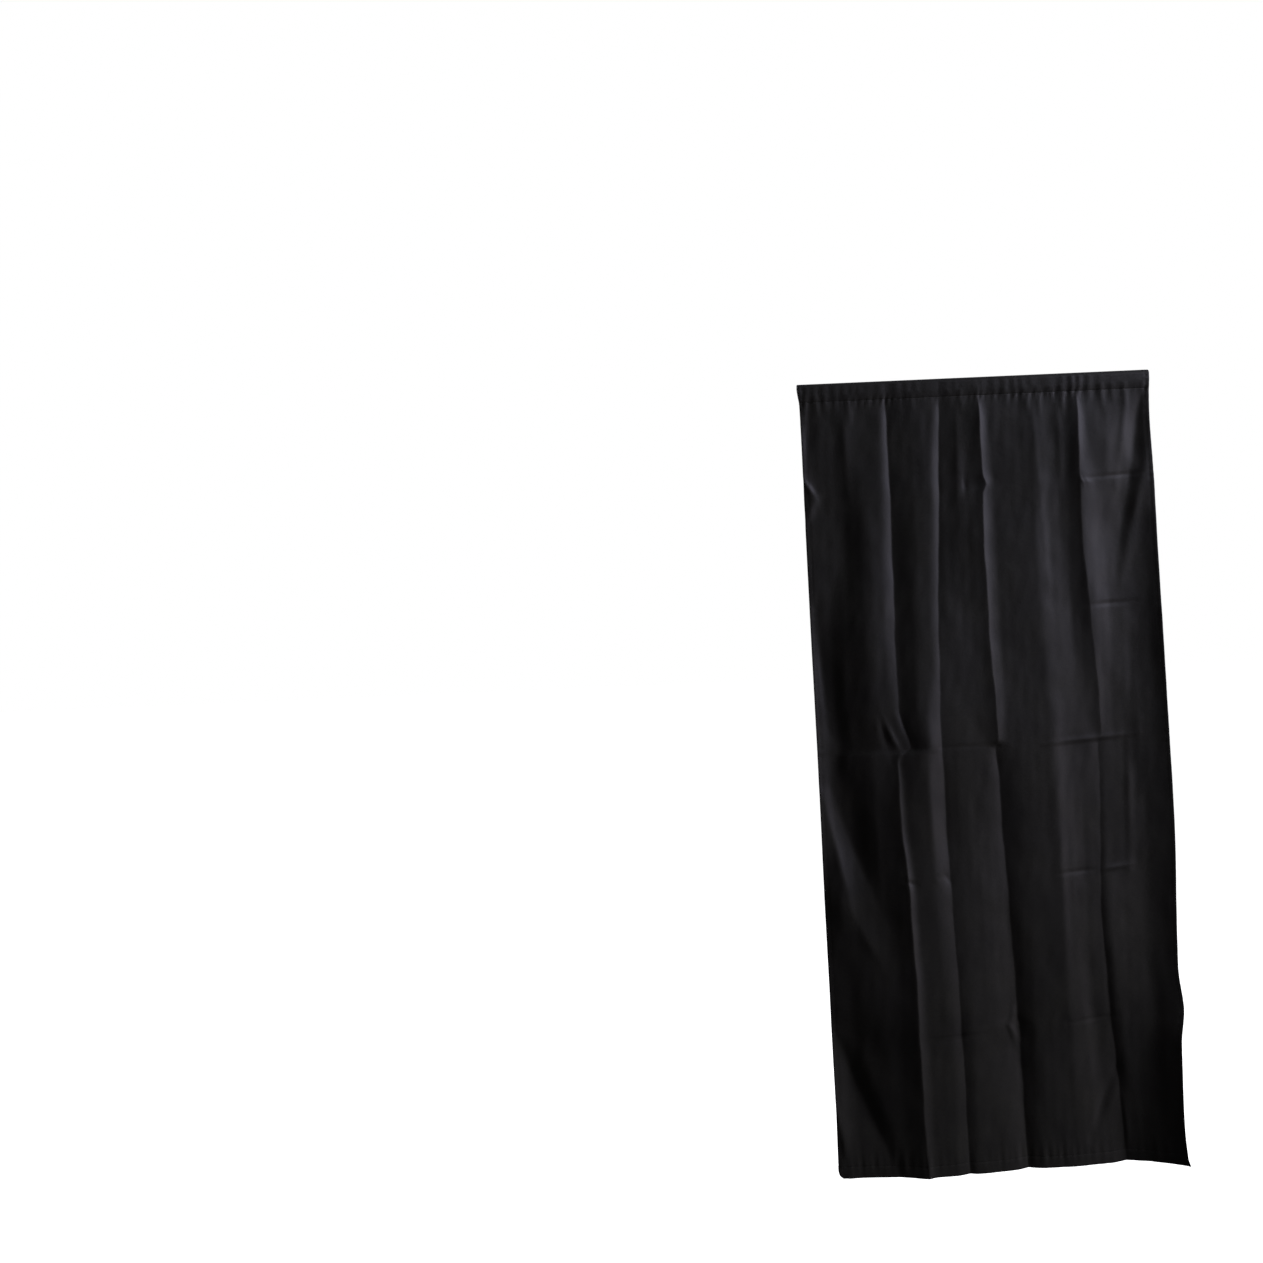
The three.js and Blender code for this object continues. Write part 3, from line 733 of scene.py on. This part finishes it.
# A stitch is a short capsule lying on the cloth. Each of its rings has its place along the
# stitch and its size, as shares of the length and the radius.
STITCH_PITCH = 3.4
STITCH_LENGTH = 2.5
STITCH_RADIUS = 0.27
STITCH_SIDES = 5
STITCH_RINGS = ((-0.5, 0.35), (-0.3, 1.0), (0.3, 1.0), (0.5, 0.35))


def read_line(run, points, at):
    """Points read along a line, where run is each point's distance from its start."""
    return np.stack([np.interp(at, run, points[:, axis]) for axis in range(3)], axis=1)


def spaced(line, normals, pitch):
    """Points, directions and normals at even steps along a line of points."""
    steps = np.linalg.norm(np.diff(line, axis=0), axis=1)
    run = np.concatenate([[0], np.cumsum(steps)])
    at = np.arange(pitch, run[-1] - pitch / 2, pitch)
    along = read_line(run, line, at + pitch / 4) - read_line(run, line, at - pitch / 4)
    along /= np.linalg.norm(along, axis=1, keepdims=True)
    return read_line(run, line, at), along, read_line(run, normals, at)


def stitch_faces(base):
    """The faces of one stitch, whose first vertex has the number base."""
    ring = np.arange(STITCH_SIDES)
    after = (ring + 1) % STITCH_SIDES
    faces = []
    for low in range(base, base + (len(STITCH_RINGS) - 1) * STITCH_SIDES, STITCH_SIDES):
        high = low + STITCH_SIDES
        band = np.stack([low + ring, low + after, high + after, high + ring], axis=1)
        faces += band.tolist()
    last = base + (len(STITCH_RINGS) - 1) * STITCH_SIDES
    faces.append((base + ring[::-1]).tolist())
    faces.append((last + ring).tolist())
    return faces


def stitches(name, lines):
    """One joined mesh of the stitches along several lines, each (points, normals)."""
    vertices = []
    faces = []
    angles = 2 * math.pi * np.arange(STITCH_SIDES) / STITCH_SIDES
    for points, normals in lines:
        centres, along, up = spaced(points, normals, STITCH_PITCH)
        side = np.cross(up, along)
        for centre, run, rise, aside in zip(centres, along, up, side):
            faces += stitch_faces(len(vertices) * STITCH_SIDES)
            ring = np.outer(np.cos(angles), aside) + np.outer(np.sin(angles), rise)
            for place, size in STITCH_RINGS:
                middle = centre + run * place * STITCH_LENGTH
                vertices.append(middle + STITCH_RADIUS * size * ring)
    return mesh_object(name, np.concatenate(vertices), faces)


def read_rows(across, target, values):
    """Each row's values, read at that row's target."""
    return np.stack([
        [np.interp(x, row, column) for x, row, column in zip(target, across, values[..., axis])]
        for axis in range(3)
    ], axis=1)


def inset_line(outer, normals, inset, rows):
    """A line down the cloth at an even distance from its left side, or from its right side where
    inset is negative."""
    across = outer[rows, :, 0]
    start = across[:, :1] if inset > 0 else across[:, -1:]
    target = (start + inset)[:, 0]
    return read_rows(across, target, outer[rows]), read_rows(across, target, normals[rows])


def node(tree, kind, links=(), **values):
    """A new shader node, with its sockets set by name and its inputs linked from others."""
    made = tree.nodes.new(kind)
    for key, value in values.items():
        if key in made.inputs:
            made.inputs[key].default_value = value
        else:
            setattr(made, key, value)
    for socket, source in links:
        tree.links.new(source, made.inputs[socket])
    return made


# Sockets of a Mix node that mixes colours
MIX_FIRST = 6
MIX_SECOND = 7
MIX_RESULT = 2


def mix_colours(tree, share, first, second):
    """The colour between first and second, where the share of second comes from a socket."""
    mix = node(tree, "ShaderNodeMix", [(0, share)], data_type="RGBA")
    mix.inputs[MIX_FIRST].default_value = (*first, 1)
    mix.inputs[MIX_SECOND].default_value = (*second, 1)
    return mix.outputs[MIX_RESULT]


# The pitches of the crosswise and the lengthwise threads, in metres, and the pitch of a wave
# texture whose scale is 1
WEFT_PITCH = 0.55 * MM
WARP_PITCH = 1.4 * WEFT_PITCH
WAVE_PITCH = 2 * math.pi / 20


def cloth_material(name, dark, light, tint):
    """Dense black weave: fine crosswise and lengthwise threads, a little uneven, with a soft
    bluish sheen."""
    material = bpy.data.materials.new(name)
    material.use_nodes = True
    tree = material.node_tree
    tree.nodes.clear()
    place = node(tree, "ShaderNodeTexCoord").outputs["Object"]
    weft = node(
        tree, "ShaderNodeTexWave", [("Vector", place)], wave_type="BANDS", bands_direction="Z",
        Scale=WAVE_PITCH / WEFT_PITCH, Distortion=0.6, Detail=1.0)
    warp = node(
        tree, "ShaderNodeTexWave", [("Vector", place)], wave_type="BANDS", bands_direction="X",
        Scale=WAVE_PITCH / WARP_PITCH, Distortion=0.6, Detail=1.0)
    weave = node(
        tree, "ShaderNodeMath",
        [(0, weft.outputs["Fac"]), (1, warp.outputs["Fac"])], operation="MULTIPLY")
    stretch = node(
        tree, "ShaderNodeMapping", [("Vector", place)], Scale=(140, 140, 900))
    slubs = node(
        tree, "ShaderNodeTexNoise", [("Vector", stretch.outputs["Vector"])], Scale=1.0, Detail=2.0)
    patches = node(tree, "ShaderNodeTexNoise", [("Vector", place)], Scale=9.0, Detail=4.0)
    creping = node(tree, "ShaderNodeTexNoise", [("Vector", place)], Scale=70.0, Detail=3.0)
    tone = node(
        tree, "ShaderNodeMath",
        [(0, slubs.outputs["Fac"]), (1, patches.outputs["Fac"])], operation="MULTIPLY")
    spread = node(
        tree, "ShaderNodeMapRange", [("Value", tone.outputs[0])],
        **{"From Min": 0.12, "From Max": 0.40})
    colour = mix_colours(tree, spread.outputs[0], dark, light)
    rough = node(
        tree, "ShaderNodeMapRange", [("Value", slubs.outputs["Fac"])],
        **{"To Min": 0.50, "To Max": 0.64})
    fine = node(
        tree, "ShaderNodeBump", [("Height", weave.outputs[0])], Strength=0.35, Distance=0.12 * MM)
    coarse = node(
        tree, "ShaderNodeBump",
        [("Height", creping.outputs["Fac"]), ("Normal", fine.outputs["Normal"])],
        Strength=0.5, Distance=0.6 * MM)
    shader = node(
        tree, "ShaderNodeBsdfPrincipled",
        [("Base Color", colour), ("Roughness", rough.outputs[0]),
         ("Normal", coarse.outputs["Normal"])],
        **{"Specular IOR Level": 0.345, "Specular Tint": (*tint, 1), "Sheen Weight": 0.12,
           "Sheen Roughness": 0.45, "Sheen Tint": (*tint, 1)})
    output = node(tree, "ShaderNodeOutputMaterial")
    tree.links.new(shader.outputs["BSDF"], output.inputs["Surface"])
    return material


def plain_material(name, dark, light, roughness):
    """A matt material whose colour varies a little, between dark and light."""
    material = bpy.data.materials.new(name)
    material.use_nodes = True
    tree = material.node_tree
    shader = tree.nodes["Principled BSDF"]
    place = node(tree, "ShaderNodeTexCoord").outputs["Object"]
    noise = node(tree, "ShaderNodeTexNoise", [("Vector", place)], Scale=1200.0, Detail=1.0)
    colour = mix_colours(tree, noise.outputs["Fac"], dark, light)
    tree.links.new(colour, shader.inputs["Base Color"])
    shader.inputs["Roughness"].default_value = roughness
    return material


# The camera stands at the photo's viewpoint, a little left of the panel and above its middle.
CAMERA_PLACE = (-0.9037, -3.3151, -0.5996)
CAMERA_YAW = -0.6045
CAMERA_PITCH = -0.497
CAMERA_ROLL = -2.411
LENS = 35.1
SENSOR = 36.0


def add_camera():
    """A camera that looks along +Y, but for its yaw, pitch and roll in degrees."""
    yaw, pitch, roll = (math.radians(a) for a in (CAMERA_YAW, CAMERA_PITCH, CAMERA_ROLL))
    ahead = Vector((
        math.sin(yaw) * math.cos(pitch), math.cos(yaw) * math.cos(pitch), math.sin(pitch)))
    level = Vector((math.cos(yaw), -math.sin(yaw), 0))
    upright = level.cross(ahead)
    right = math.cos(roll) * level + math.sin(roll) * upright
    up = math.cos(roll) * upright - math.sin(roll) * level
    data = bpy.data.cameras.new("camera")
    data.lens = LENS
    data.sensor_width = SENSOR
    camera = bpy.data.objects.new("camera", data)
    camera.matrix_world = Matrix.Translation(CAMERA_PLACE) @ Matrix(
        (right, up, -ahead)).transposed().to_4x4()
    bpy.context.scene.collection.objects.link(camera)
    bpy.context.scene.camera = camera


def area_light(name, place, target, size, power, colour):
    """A rectangular light at place, turned toward target."""
    data = bpy.data.lights.new(name, "AREA")
    data.shape = "RECTANGLE"
    data.size, data.size_y = size
    data.energy = power
    data.color = colour
    light = bpy.data.objects.new(name, data)
    light.location = place
    light.rotation_euler = (Vector(target) - Vector(place)).to_track_quat("-Z", "Y").to_euler()
    bpy.context.scene.collection.objects.link(light)


def add_world():
    """A white surrounding to look at, and a dim, faintly warm one to light by."""
    world = bpy.data.worlds.new("studio")
    bpy.context.scene.world = world
    world.use_nodes = True
    tree = world.node_tree
    tree.nodes.clear()
    seen = node(tree, "ShaderNodeBackground", Color=(1, 1, 1, 1), Strength=1.0)
    lit = node(tree, "ShaderNodeBackground", Color=(1.0, 0.98, 0.92, 1), Strength=0.018)
    rays = node(tree, "ShaderNodeLightPath")
    mixed = node(
        tree, "ShaderNodeMixShader",
        [(0, rays.outputs["Is Camera Ray"]), (1, lit.outputs[0]), (2, seen.outputs[0])])
    output = node(tree, "ShaderNodeOutputWorld")
    tree.links.new(mixed.outputs[0], output.inputs["Surface"])


FLOOR_BELOW_HEM = 0.25
FLOOR_SIZE = 60.0


def add_floor():
    """A pale floor some way below the hem, so bright that it has no horizon."""
    level = cad_box[0][2] - FLOOR_BELOW_HEM
    half = FLOOR_SIZE / 2
    sides = ((-half, -half), (half, -half), (half, half), (-half, half))
    corners = np.array([(x, y, level) for x, y in sides]) / MM
    floor = mesh_object("floor", corners, [[0, 1, 2, 3]], smooth=False)
    material = bpy.data.materials.new("pale_floor")
    material.use_nodes = True
    shader = material.node_tree.nodes["Principled BSDF"]
    shader.inputs["Base Color"].default_value = (0.82, 0.82, 0.82, 1)
    shader.inputs["Roughness"].default_value = 0.9
    shader.inputs["Emission Color"].default_value = (1, 1, 1, 1)
    shader.inputs["Emission Strength"].default_value = 1.0
    floor.data.materials.append(material)
    floor.visible_diffuse = False
    floor.visible_glossy = False


# The lights: a large soft key from the right, two weak warm ones low down, and one behind. Each
# has its name, its place, what it is turned toward, its size, its power and its colour.
LIGHTS = (
    ("key", (5.6, -2.0, 2.2), (0, 0, -0.6), (2.4, 3.0), 400, (0.94, 0.95, 1.0)),
    ("low", (5.6, -1.8, -1.5), (0, 0, -1.6), (2.0, 1.7), 42, (1.0, 0.83, 0.79)),
    ("fill", (-0.6, -3.2, -1.6), (0, 0, -1.3), (1.8, 1.8), 5, (1.0, 0.88, 0.8)),
    ("back", (-1.6, 2.4, 0.6), (0, 0, -1.0), (1.8, 1.8), 60, (0.95, 0.97, 1.0)),
)

add_camera()

# The cloth
stations = column_stations()
down_panel = panel_path()
over_pocket = pocket_path()
panel, panel_face, panel_normals = sheet_mesh("panel_cloth", mid_surface(stations, down_panel))
pocket, pocket_face, pocket_normals = sheet_mesh(
    "pocket_cloth", mid_surface(stations, over_pocket))

# The stitches, on both faces of the cloth: along the seam, along the hem and down both sides
panel_drops = down_panel[0]
pocket_drops = over_pocket[0]
foot_row = int(np.argmax(panel_drops))
hem_rows = np.flatnonzero(np.isclose(panel_drops, HEM_LINE))
back_seam_row = int(np.argmin(np.abs(pocket_drops[:len(pocket_drops) // 2] - POCKET_DROP)))
seam_lines = [
    (panel_face[0], panel_normals[0]),
    (pocket_face[back_seam_row], pocket_normals[back_seam_row]),
]
hem_lines = [(panel_face[row], panel_normals[row]) for row in hem_rows]
front_rows = slice(0, foot_row)
for side in (1, -1):
    inset = side * (SIDE_HEM - STITCH_INSET)
    face, up = inset_line(panel_face, panel_normals, inset, front_rows)
    hem_lines.append((face, up))
    hem_lines.append((face - up * (CLOTH + LAYER), -up))
seam_thread = stitches("seam_stitches", seam_lines)
hem_thread = stitches("hem_stitches", hem_lines)

# Materials, and what each piece stands for
cloth = cloth_material(
    "black_weave", dark=(0.0099, 0.01, 0.0071), light=(0.0172, 0.0173, 0.0123),
    tint=(0.775, 0.745, 1.0))
thread = plain_material(
    "black_thread", dark=(0.0104, 0.0104, 0.0104), light=(0.0156, 0.0156, 0.0156),
    roughness=0.6)
for piece in (panel, pocket):
    piece.data.materials.append(cloth)
for piece in (seam_thread, hem_thread):
    piece.data.materials.append(thread)
for piece in (panel, pocket, seam_thread, hem_thread):
    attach(piece, "root")
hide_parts("panel")
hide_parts("rod_pocket")

for light in LIGHTS:
    area_light(*light)
add_world()
add_floor()
bpy.context.scene.view_settings.view_transform = "Standard"
